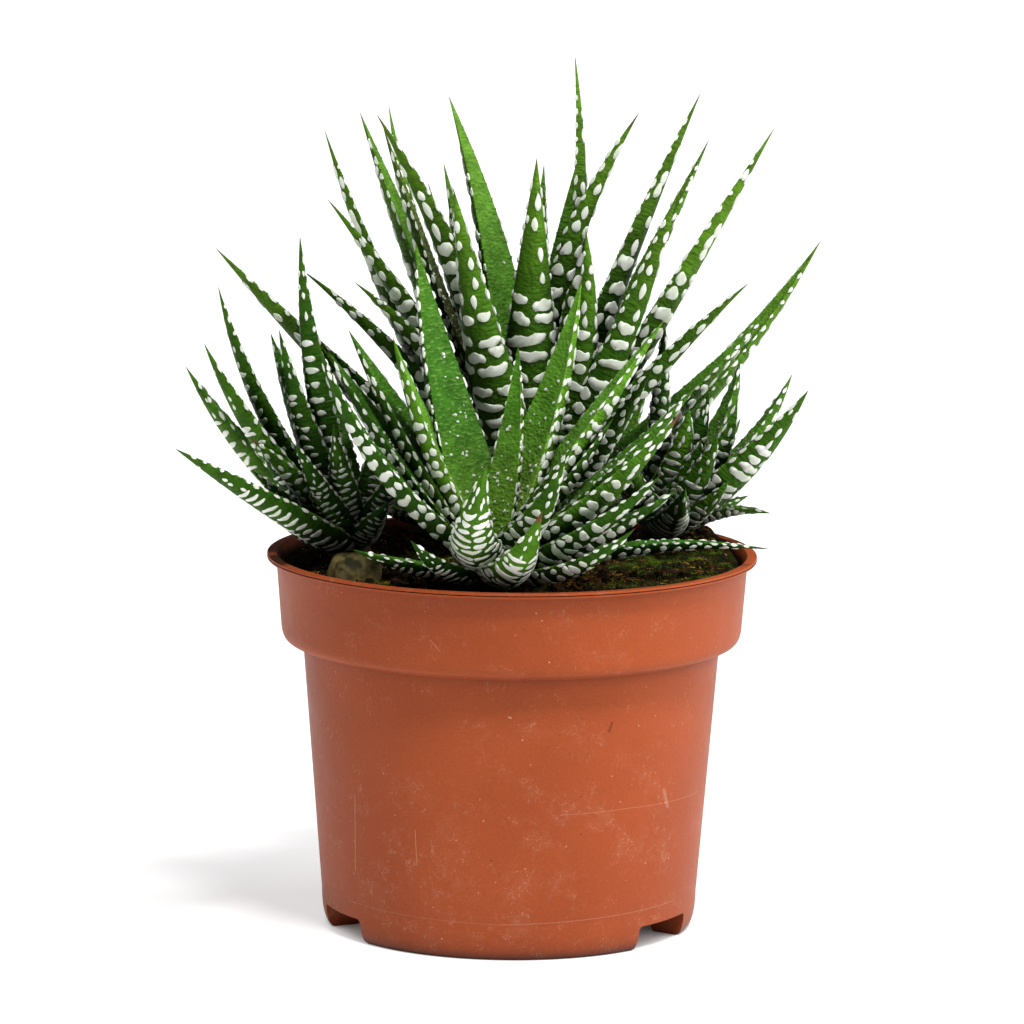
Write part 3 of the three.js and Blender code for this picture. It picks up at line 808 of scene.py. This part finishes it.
def backMarks(leaf, draw):
    marks = []
    plan, look = tuberclePlan, leaf["look"]
    length, width = leaf["length"], leaf["width"]
    pitch = (plan["pitch"][0] + plan["pitch"][1] * length) * look["pitch"]
    size = min(plan["largest"], pitch / plan["usualPitch"]) * look["marks"] ** 0.5
    bandsTo, ovalsTo = draw.uniform(*plan["bandsTo"]), draw.uniform(*plan["ovalsTo"])
    arc = math.radians(plan["arc"])

    def put(along, turn, halfLong, halfWide, bend=0.0):
        marks.append((along, turn, halfLong * draw.uniform(0.85, 1.15), halfWide, plan["height"] * size,
                      bend, draw.gauss(0, 0.2), (draw.uniform(0, 6.28), draw.uniform(0, 6.28))))

    def putRow(along, parts, share, halfLong):  # marks side by side over the back, with gaps between them
        radius = plan["radius"] * width * shareAt(along)
        gap = plan["gap"] * size
        free = max(0.2, 2 * arc * radius * share - gap * (len(parts) - 1))
        start = -free / 2 - gap * (len(parts) - 1) / 2 + draw.gauss(0, 0.35)
        for part in parts:
            wide = part / sum(parts) * free
            shift = draw.gauss(0, 0.13) * pitch
            put(along + shift / length, (start + wide / 2) / radius, halfLong * size, 0.5 * wide * 0.97,
                draw.gauss(0.1, 0.35) * min(1, wide / 4))
            start += wide + gap

    along = 0.03 + draw.uniform(0, pitch / length)
    while along < plan["end"]:
        if along < bandsTo * look["bands"]:
            putRow(along, draw.choice(plan["bandSplits"]), 1.0, 1.28)
        elif along < ovalsTo:
            parts = draw.choice(plan["ovalSplits"])
            putRow(along, parts, draw.uniform(0.8, 1.0) * min(1, 0.45 + 0.55 * look["marks"]), 1.3)
        elif along < plan["pairsTo"]:
            for side in (-1, 1):
                if draw.random() < 0.85:
                    put(along + draw.gauss(0, 0.25) * pitch / length, side * draw.uniform(0.4, 0.8),
                        draw.uniform(1.2, 1.9) * size, 0.7 * size)
        else:
            side = draw.choice((-1, 1))
            put(along, draw.gauss(0, 0.2), draw.uniform(1.2, 1.8) * size, 0.75 * size)
            if draw.random() < 0.6:
                put(along + draw.gauss(0, 0.01), side * draw.uniform(0.9, 1.15),
                    draw.uniform(1.0, 1.4) * size, 0.5 * size)
        along += pitch * draw.uniform(0.88, 1.12) * (1 + 0.2 * along) / length
    return marks


def marginMarks(leaf, draw):  # white dashes along both margins
    marks = []
    plan = dashPlan
    size = min(1.25, 0.55 + 0.04 * leaf["width"])
    for side in (-1, 1):
        along = plan["from"] + draw.uniform(0, 0.03)
        while along < plan["end"]:
            if draw.random() < leaf["look"]["dashes"]:
                turn = side * math.radians(draw.gauss(*plan["turn"]))
                marks.append((along, turn, draw.uniform(*plan["halfLong"]) * size,
                              draw.uniform(*plan["halfWide"]) * size, tuberclePlan["height"] * size,
                              0.0, 0.0, (0.0, 0.0)))
            along += draw.uniform(*plan["pitch"]) * size / leaf["length"]
    return marks


def placeMarks(leaf, marks, blank):  # lays the blank's shape on the curved back at each mark
    plan = tuberclePlan
    points, faces = blank
    p, q, r = points[:, 0], points[:, 1], points[:, 2]
    copies = []
    for along, turn, halfLong, halfWide, height, bend, lean, (first, second) in marks:
        radius = max(0.4, plan["radius"] * leaf["width"] * shareAt(along))
        halfWide = min(halfWide, plan["widest" if along < plan["tipFrom"] else "widestAtTip"] * radius)
        lobes = max(1, round(halfWide / plan["lobe"]))
        thick = halfLong * (0.78 + 0.36 * np.abs(np.cos(1.57 * lobes * p + 0.5 * math.sin(first))))
        sag = 0.14 * halfLong * np.sin(3.1 * p * max(1, halfWide / 2) + second)
        wide = p * halfWide
        long = q * thick + sag + lean * wide * 0.4 + bend * (p * p - 0.4)
        lengthwise = np.clip(along + long / leaf["length"], 0.002, 0.99)
        here, normal = outwards(backPlaces, leaf, lengthwise, turn - wide / radius)
        copies.append((here + normal * (r * height)[:, None], faces))
    return copies


def marginTeeth(leaf, draw, blank):  # small green teeth along both margins
    points, faces = blank
    copies = []
    for side in (-1, 1):
        along = toothPlan["from"] + draw.uniform(0, 0.03)
        while along < toothPlan["end"]:
            share = shareAt(along)
            half = max(0.3, leaf["width"] / 2 * share)
            size = draw.uniform(*toothPlan["size"]) * min(1, 0.4 + share)
            ahead = (points[:, 1] * 0.8 * size + points[:, 2] * 0.6 * size) / leaf["length"]
            lengthwise = np.clip(along + ahead, 0, 0.995)
            across = side * (1 - 0.12 / half + points[:, 2] * size / half)
            down = side * points[:, 0] * 0.35 * size / half
            copies.append((leafPlaces(leaf, lengthwise, across, down), faces))
            along += draw.uniform(*toothPlan["pitch"]) / leaf["length"]
    return copies


def upperDots(leaf, draw, blank):  # small white dots on the lower half of the upper face
    points, faces = blank
    copies = []
    for _ in range(int(draw.uniform(*dotPlan["count"]) * leaf["look"]["dots"])):
        along = dotPlan["from"] + dotPlan["spread"] * draw.random() ** 1.5
        across = draw.uniform(-dotPlan["across"], dotPlan["across"])
        size = draw.uniform(*dotPlan["size"])
        half = leaf["width"] / 2 * shareAt(along)
        lengthwise = along + points[:, 1] * size / leaf["length"]
        sideways = across + points[:, 0] * size / half
        here, normal = outwards(upperPlaces, leaf, lengthwise, sideways)
        copies.append((here - normal * (points[:, 2] * size * 0.7)[:, None], faces))
    return copies


def keepValues(piece, name, kind, field, values):  # an attribute on the points, which the material reads
    attribute = piece.data.attributes.new(name, kind, "POINT")
    attribute.data.foreach_set(field, np.concatenate(values).astype(np.float32).ravel())


def makeRosette(name, seed, blanks, skinMaterial, wartMaterial):
    draw = random.Random(seed)
    blankPoints, blankFaces = blanks["leaf"]
    across, along = blankPoints[:, 0], blankPoints[:, 2]
    upper = (blankPoints[:, 1] > 1e-4).astype(float)
    same = np.ones(len(along))
    heart, stem = heads[name], stemRadii[name]
    skins, states, places, warts = [], [], [], []
    for index, row in enumerate(leafRows[name]):
        leaf = growLeaf(heart, row, usualLook.get(name, "usual"))
        look = leaf["look"]
        skins.append((shapeLeaf(leaf, blankPoints) * mm, blankFaces))
        # the state is upper face, tone, dried tip and purple; the place is on the leaf laid flat
        tone = min(1, max(0, look["tone"] + draw.gauss(0, 0.16)))
        dryFrom = 1 - look["dry"] * draw.uniform(0.7, 1.5)
        dry = np.clip((along - dryFrom) / 0.02 + 0.5, 0, 1)
        states.append(np.stack([upper, same * tone, dry, same * look["purple"]], 1))
        half = leaf["width"] / 2 * leafShare(along)
        places.append(np.stack([across * half * mm, along * leaf["length"] * mm, same * 0.05 * index], 1))
        marks = backMarks(leaf, draw)
        bands = [mark for mark in marks if mark[3] > tuberclePlan["bandFrom"]]
        ovals = [mark for mark in marks if mark[3] <= tuberclePlan["bandFrom"]]
        warts.extend(placeMarks(leaf, bands, blanks["band"]))
        warts.extend(placeMarks(leaf, ovals, blanks["oval"]))
        warts.extend(placeMarks(leaf, marginMarks(leaf, draw), blanks["dash"]))
        warts.extend(upperDots(leaf, draw, blanks["dot"]))
        for points, faces in marginTeeth(leaf, draw, blanks["tooth"]):
            skins.append((points * mm, faces))
            states.append(np.tile([0.5, tone, 0.0, look["purple"]], (len(points), 1)))
            places.append(points * mm)
    core = [(stem * 0.999, -11.8), (stem, -1), (0.85 * stem, 3), (0.5 * stem, 9), (0.4, 12)]
    corePoints, coreFaces = takeApart(turnShape("core", core, 32))
    skins.append(((corePoints + np.array(heart)) * mm, coreFaces))
    states.append(np.tile([0.0, 0.5, 0.8, 0.0], (len(corePoints), 1)))
    places.append(corePoints * mm)

    leaves = joinCopies(name + "_leaves", skins, skinMaterial)
    keepValues(leaves, "leafState", "FLOAT_COLOR", "color", states)
    keepValues(leaves, "leafPlace", "FLOAT_VECTOR", "vector", places)
    smoothByAngle(leaves, 38)
    finishPiece(leaves, "leaf", name)
    warts = [(points * mm, faces) for points, faces in warts]
    tubercles = joinCopies(name + "_tubercles", warts, wartMaterial)
    smoothByAngle(tubercles, 50)
    finishPiece(tubercles, "leaf")
    print("made", name, len(leaves.data.polygons), len(tubercles.data.polygons))


# Leaf skin of a haworthia: a thick waxy cuticle over green flesh, satin, with fine cross wrinkles on the
# upper face and a deeper, smoother green on the back
leafFinish = {
    "backDeep": "#1E4708", "backLight": "#5C9020", "upperDeep": "#2A5E10", "upperLight": "#60992C",
    # the glint colour is a painted highlight on the upper face
    # the tip colour is painted light, paler towards the thin outer part of each leaf
    "rootLight": "#86AC42", "paintedTipLight": "#7FA82C", "glint": "#96BC62",
    # the last share spares the upper face part of the painted shade
    "dry": "#6E4A30", "purple": "#33201C", "roughness": (0.37, 0.56), "through": 0.6,
}


def leafMaterial():
    finish = leafFinish
    material, tree, shader = newMaterial("waxyLeafSkin")
    state = addNode(tree, "Attribute", {"attribute_name": "leafState"}, {}, "Color")
    purple = state.node.outputs["Alpha"]
    upper, tone, dry = addNode(tree, "SeparateColor", {}, {"Color": state}).node.outputs
    place = addNode(tree, "Attribute", {"attribute_name": "leafPlace"}, {}, "Vector")
    back = addNode(tree, "Mix", mixed, {0: tone, 6: finish["backDeep"], 7: finish["backLight"]}, 2)
    face = addNode(tree, "Mix", mixed, {0: tone, 6: finish["upperDeep"], 7: finish["upperLight"]}, 2)
    # the upper face is yellower towards its root
    run = addNode(tree, "SeparateXYZ", {}, {"Vector": place}, "Y")
    yellow = addNode(tree, "Math", {"operation": "MULTIPLY_ADD"}, {0: tone, 1: 0.7, 2: 0.2})
    nearRoot = addNode(tree, "MapRange", smoothStep, {0: run, 1: 0.036, 2: 0.004})
    yellow = addNode(tree, "Math", product, {0: yellow, 1: nearRoot})
    face = addNode(tree, "Mix", mixed, {0: yellow, 6: face, 7: finish["rootLight"]}, 2)
    face = addNode(tree, "Mix", mixed, {0: purple, 6: face, 7: finish["purple"]}, 2)
    colour = addNode(tree, "Mix", mixed, {0: upper, 6: back, 7: face}, 2)
    # painted light: each leaf grows paler from 45 mm along it, as if light shone through its thin outer part
    colour = paintWhere(tree, colour, run, (0.045, 0.100, 0.24), finish["paintedTipLight"])
    # mottling a few millimetres across, and cross wrinkles two thirds of a millimetre apart
    cloud = addNode(tree, "TexNoise", {}, {"Vector": place, "Scale": 210.0, "Detail": 3.0})
    shade = addNode(tree, "MapRange", {}, {0: cloud, 1: 0.3, 2: 0.7, 3: 0.70, 4: 1.30})
    colour = addNode(tree, "Mix", multiplied, {0: 1.0, 6: colour, 7: shade}, 2)
    crossed = addNode(tree, "Mapping", {}, {"Vector": place, "Scale": (520.0, 1500.0, 520.0)})
    wrinkles = addNode(tree, "TexNoise", {}, {"Vector": crossed, "Scale": 1.0, "Detail": 2.0})
    # painted highlights: pale glints on the upper face where the wrinkles rise
    glints = addNode(tree, "MapRange", smoothStep, {0: wrinkles, 1: 0.50, 2: 0.68, 4: 0.32})
    glints = addNode(tree, "Math", product, {0: glints, 1: upper})
    colour = addNode(tree, "Mix", mixed, {0: glints, 6: colour, 7: finish["glint"]}, 2)
    colour = addNode(tree, "Mix", mixed, {0: dry, 6: colour, 7: finish["dry"]}, 2)
    # painted shade where leaves crowd together, weaker on the upper face as painted light through the leaf
    through = addNode(tree, "Math", product, {0: upper, 1: finish["through"]})
    paintedLeafShade = addNode(tree, "Mix", mixed, {0: through, 6: closeShade(tree, 0.03, 0.04), 7: "#FFFFFF"}, 2)
    colour = addNode(tree, "Mix", multiplied, {0: 1.0, 6: colour, 7: paintedLeafShade}, 2)
    glossy, dull = finish["roughness"]
    rough = addNode(tree, "MapRange", {}, {0: wrinkles, 1: 0.3, 2: 0.7, 3: glossy, 4: dull})
    # wrinkles, and grains a millimetre across that stand on the skin
    bump = addNode(tree, "Bump", {}, {"Height": wrinkles, "Strength": 0.8, "Distance": 0.0005})
    grains = addNode(tree, "TexVoronoi", {}, {"Vector": place, "Scale": 1000.0}, "Distance")
    bump = addNode(tree, "Bump", {"invert": True}, {"Height": grains, "Strength": 0.8, "Distance": 0.0004,
                                                    "Normal": bump})
    setInputs(tree, shader, {"Base Color": colour, "Roughness": rough, "Normal": bump, "IOR": 1.45,
                             "Specular IOR Level": 0.09})
    return material


# Tubercles: small pearly warts of the same skin without its green, off-white and a little waxy. The small
# heads are crowded, so theirs are in deeper shade.
def tubercleFinish(darkest, reach):
    return {"base": "#F6FAEE", "layers": [(300.0, 3.0, (0.4, 0.68, 1.0), "#E2EBD4")],
            "shade": (darkest, reach), "bump": (0, 0.15, 0.0003), "roughness": 0.45, "specular": 0.5}


# Camera, light and floor
cameraPlan = {
    "at": (0, -1.4794, 0.3396), "aim": (0, 0, 0.102), "lens": 215.16, "roll": 0.57, "shift": 0.0005,
}
lightPlan = {  # suns: turn to the right of the camera, height and spread in degrees
    "key": {"turn": 22, "height": 63, "spread": 12, "strength": 2.8},
    "side": {"turn": 82, "height": 32, "spread": 60, "strength": 2.4},
    "dome": 0.08, "floorWhite": 0.50, "floorGlow": 0.67, "contactShadowReach": 0.02,
}


def setUpCamera():
    data = bpy.data.cameras.new("camera")
    data.lens = cameraPlan["lens"]
    data.shift_x = -cameraPlan["shift"]
    data.clip_start, data.clip_end = 0.05, 50
    camera = bpy.data.objects.new("camera", data)
    camera.location = cameraPlan["at"]
    look = (Vector(cameraPlan["aim"]) - Vector(cameraPlan["at"])).to_track_quat("-Z", "Y")
    camera.rotation_mode = "QUATERNION"
    camera.rotation_quaternion = look @ Quaternion((0, 0, 1), math.radians(cameraPlan["roll"]))
    bpy.context.scene.collection.objects.link(camera)
    bpy.context.scene.camera = camera


def setUpLights():
    for name in ("key", "side"):
        plan = lightPlan[name]
        lamp = bpy.data.lights.new(name, "SUN")
        lamp.energy, lamp.angle = plan["strength"], math.radians(plan["spread"])
        light = bpy.data.objects.new(name, lamp)
        turn, height = math.radians(plan["turn"]), math.radians(plan["height"])
        light.location = Vector((math.sin(turn) * math.cos(height), -math.cos(turn) * math.cos(height),
                                 math.sin(height)))
        light.rotation_euler = (-light.location).to_track_quat("-Z", "Y").to_euler()
        bpy.context.scene.collection.objects.link(light)
    world = bpy.data.worlds.new("softDome")
    world.use_nodes = True
    world.node_tree.nodes["Background"].inputs["Color"].default_value = (1, 1, 1, 1)
    world.node_tree.nodes["Background"].inputs["Strength"].default_value = lightPlan["dome"]
    bpy.context.scene.world = world
    bpy.context.scene.view_settings.view_transform = "Standard"


def layFloor():  # matt white paper, which glows except where the pot stands close to it, a painted contact shadow
    bpy.ops.object.select_all(action="DESELECT")
    bpy.ops.mesh.primitive_plane_add(size=24, location=(0, 0, 0))
    floor = bpy.context.object
    floor.name = "floor"
    material, tree, shader = newMaterial("whitePaper")
    white = lightPlan["floorWhite"]
    clear = addNode(tree, "AmbientOcclusion", {"samples": 8}, {"Distance": lightPlan["contactShadowReach"]}, "AO")
    # painted contact shadow: the glow fades where the pot stands close
    glow = paintWhere(tree, "#000000", clear, (0.05, 0.5, 1.0), "#FFFFFF")
    setInputs(tree, shader, {"Base Color": (white, white, white, 1), "Roughness": 0.9,
                             "Specular IOR Level": 0.0, "Emission Strength": lightPlan["floorGlow"],
                             "Emission Color": glow})
    floor.data.materials.append(material)


setUpCamera()
setUpLights()
layFloor()
print("stage ready")
makePot(potMaterial())
print("pot made")
makeSoil(mottledMaterial("dampPeat", soilFinish))
loose = {name: mottledMaterial(name, finish) for name, finish in looseFinishes.items()}
makeCrumbs(loose["peatCrumbs"])
makeMoss("moss", soilPlan["blades"], mossPatches, loose["cushionMoss"])
makeMoss("yellow_moss", soilPlan["yellowBlades"], yellowPatches, loose["yellowMoss"])
makeFibres(loose["peatFibres"])
makeStone(mottledMaterial("wornSandstone", stoneFinish))
print("soil, moss and stone made")
markBlanks = {
    "leaf": leafBlank(),
    "band": loafBlank(),
    "oval": takeApart(turnShape("oval", [(1, -0.3), (0.9, 0.55), (0.5, 0.95)], 10)),
    "dash": takeApart(turnShape("dash", [(1, -0.3), (0.65, 0.9)], 7)),
    "dot": takeApart(turnShape("dot", [(1, -0.3), (0.55, 0.9)], 6)),
    "tooth": takeApart(turnShape("tooth", [(1, -0.2), (0.15, 1)], 4)),
}
leafSkin = leafMaterial()
pearly = mottledMaterial("pearlyTubercle", tubercleFinish(0.32, 0.04))
shaded = mottledMaterial("shadedTubercle", tubercleFinish(0.04, 0.06))
for number, rosetteName in enumerate(leafRows):
    tall = rosetteName in ("rosette_front", "rosette_back")
    makeRosette(rosetteName, seeds["rosettes"] + number, markBlanks, leafSkin, pearly if tall else shaded)
